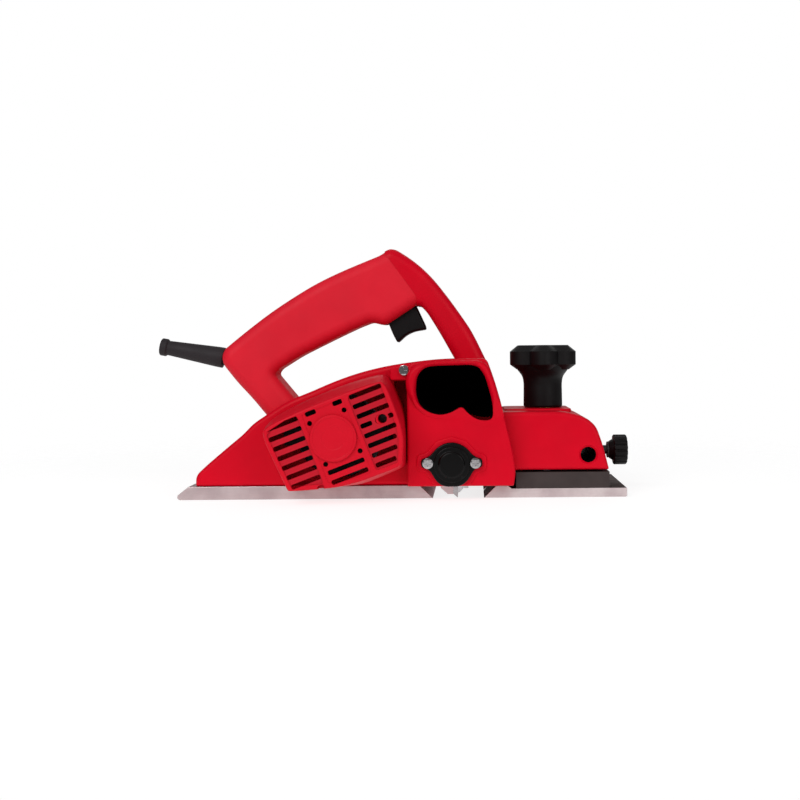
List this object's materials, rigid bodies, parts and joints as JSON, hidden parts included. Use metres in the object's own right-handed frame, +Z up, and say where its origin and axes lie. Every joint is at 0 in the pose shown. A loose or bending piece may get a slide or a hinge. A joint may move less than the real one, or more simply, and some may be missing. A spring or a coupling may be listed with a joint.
{
  "type": "electric hand planer",
  "caption": "Corded electric hand planer with a belt-driven cutter drum, side chip outlet, loop handle with trigger, depth knob and front fence clamp.",
  "frame": {"origin": "on the sole plane, below the centre of the whole tool's box", "axes": "+X forward along the sole, towards the depth knob; +Z up from the sole; -Y is the chip-outlet side"},
  "size_m": [0.316, 0.159, 0.163],
  "materials": {
    "red_plastic": "satin moulded red",
    "black_plastic": "fine matt moulding",
    "black_rubber": "soft matt",
    "belt_rubber": "ribbed belt",
    "machined_aluminium": "milled, bright edges",
    "cast_grey": "dark cast, matt",
    "blackened_steel": "black oxide",
    "plated_steel": "bright zinc plating",
    "bright_steel": "ground steel",
    "blade_steel": "ground, honed edge",
    "lamination_steel": "stacked laminations",
    "copper_wire": "lacquered copper",
    "copper_bar": "turned copper",
    "brass": "turned brass",
    "carbon": "matt graphite"
  },
  "bodies": {
    "housing": {"main_frame": "red_plastic", "front_housing": "red_plastic", "front_housing_screws": "plated_steel", "motor_cover": "red_plastic", "motor_cover_screw": "blackened_steel", "chip_chute": "black_plastic", "chute_screw": "plated_steel", "belt_cover": "black_plastic", "belt_cover_screws": "plated_steel", "drive_belt": "belt_rubber", "handle_right_shell": "red_plastic", "handle_left_shell": "red_plastic", "handle_screws": "plated_steel", "cord_guard": "black_rubber", "cord_clamp": "black_plastic", "cord_clamp_screws": "plated_steel", "trigger_switch": "black_plastic", "trigger_spring": "bright_steel", "lock_button_spring": "bright_steel", "rear_shoe": "machined_aluminium", "rear_shoe_screws": "plated_steel", "drum_bearing_outer_rings": "bright_steel", "drum_bearing_retainer": "black_plastic", "retainer_screws": "plated_steel", "motor_bearing_outer_rings": "bright_steel", "fan_baffle": "black_plastic", "stator_core": "lamination_steel", "field_coils": "copper_wire", "brush_ring": "black_plastic", "brush_holders": "black_plastic", "brush_springs": "bright_steel", "depth_spring": "bright_steel"},
    "armature_assembly": {"armature_shaft": "bright_steel", "armature_core": "lamination_steel", "armature_windings": "copper_wire", "commutator": "copper_bar", "cooling_fan": "black_plastic", "drive_pulley": "bright_steel", "motor_bearing_inner_rings": "bright_steel"},
    "drum_assembly": {"cutter_drum": "machined_aluminium", "planer_blades": "blade_steel", "blade_clamps": "bright_steel", "blade_clamp_bolts": "plated_steel", "driven_pulley": "machined_aluminium", "driven_pulley_bolt": "plated_steel", "drum_bearing_inner_rings": "bright_steel"},
    "front_base": {"front_shoe": "machined_aluminium", "front_shoe_block": "cast_grey", "front_shoe_screws": "plated_steel", "depth_stud": "plated_steel", "guide_pins": "bright_steel"},
    "depth_knob_assembly": {"depth_knob": "black_plastic", "depth_knob_insert": "brass"},
    "fence_clamp_slider": {"fence_clamp_washer": "blackened_steel"},
    "fence_clamp_screw": {"fence_clamp_knob": "black_plastic", "fence_clamp_stud": "blackened_steel"},
    "trigger_body": {"trigger": "black_plastic"},
    "lock_button_body": {"lock_button": "black_plastic"},
    "brush_front_body": {"carbon_brush_front": "carbon"},
    "brush_rear_body": {"carbon_brush_rear": "carbon"}
  },
  "joints": [
    {"name": "armature_spin", "type": "hinge", "parent": "housing", "child": "armature_assembly", "pos_m": [-0.032, 0, 0.0415], "axis": [0, 1, 0], "continuous": true},
    {"name": "drum_spin", "type": "hinge", "parent": "housing", "child": "drum_assembly", "pos_m": [0.04, 0, 0.023], "axis": [0, 1, 0], "continuous": true},
    {"name": "depth_knob_turn", "type": "hinge", "parent": "housing", "child": "depth_knob_assembly", "pos_m": [0.101, 0, 0.085], "axis": [0, 0, -1], "range_deg": [0, 360], "deforming": ["depth_spring"]},
    {"name": "depth_slide", "type": "slide", "parent": "housing", "child": "front_base", "axis": [0, 0, 1], "range_m": [0, 0.001]},
    {"name": "fence_clamp_slide", "type": "slide", "parent": "housing", "child": "fence_clamp_slider", "axis": [1, 0, 0], "range_m": [-0.001, 0.002]},
    {"name": "fence_clamp_turn", "type": "hinge", "parent": "fence_clamp_slider", "child": "fence_clamp_screw", "pos_m": [0.152, 0, 0.027], "axis": [1, 0, 0], "range_deg": [-360, 720]},
    {"name": "trigger_pull", "type": "slide", "parent": "housing", "child": "trigger_body", "axis": [-0.4512, 0, 0.8924], "range_m": [0, 0.005], "stiffness_N_per_m": 400, "springref_m": -0.004, "deforming": ["trigger_spring"]},
    {"name": "lock_button_press", "type": "slide", "parent": "housing", "child": "lock_button_body", "axis": [0, -1, 0], "range_m": [0, 0.0035], "stiffness_N_per_m": 300, "springref_m": -0.003, "deforming": ["lock_button_spring"]},
    {"name": "brush_front_slide", "type": "slide", "parent": "housing", "child": "brush_front_body", "axis": [1, 0, 0], "range_m": [0, 0.002], "stiffness_N_per_m": 150, "springref_m": -0.01, "deforming": ["brush_springs"]},
    {"name": "brush_rear_slide", "type": "slide", "parent": "housing", "child": "brush_rear_body", "axis": [-1, 0, 0], "range_m": [0, 0.002], "stiffness_N_per_m": 150, "springref_m": -0.01, "deforming": ["brush_springs"]}
  ],
  "couplings": [
    {"joint": "drum_spin", "follows": "armature_spin", "ratio": 0.64},
    {"joint": "depth_slide", "follows": "depth_knob_turn", "m_per_rad": 0.00015915},
    {"joint": "fence_clamp_slide", "follows": "fence_clamp_turn", "m_per_rad": 0.00015915}
  ]
}
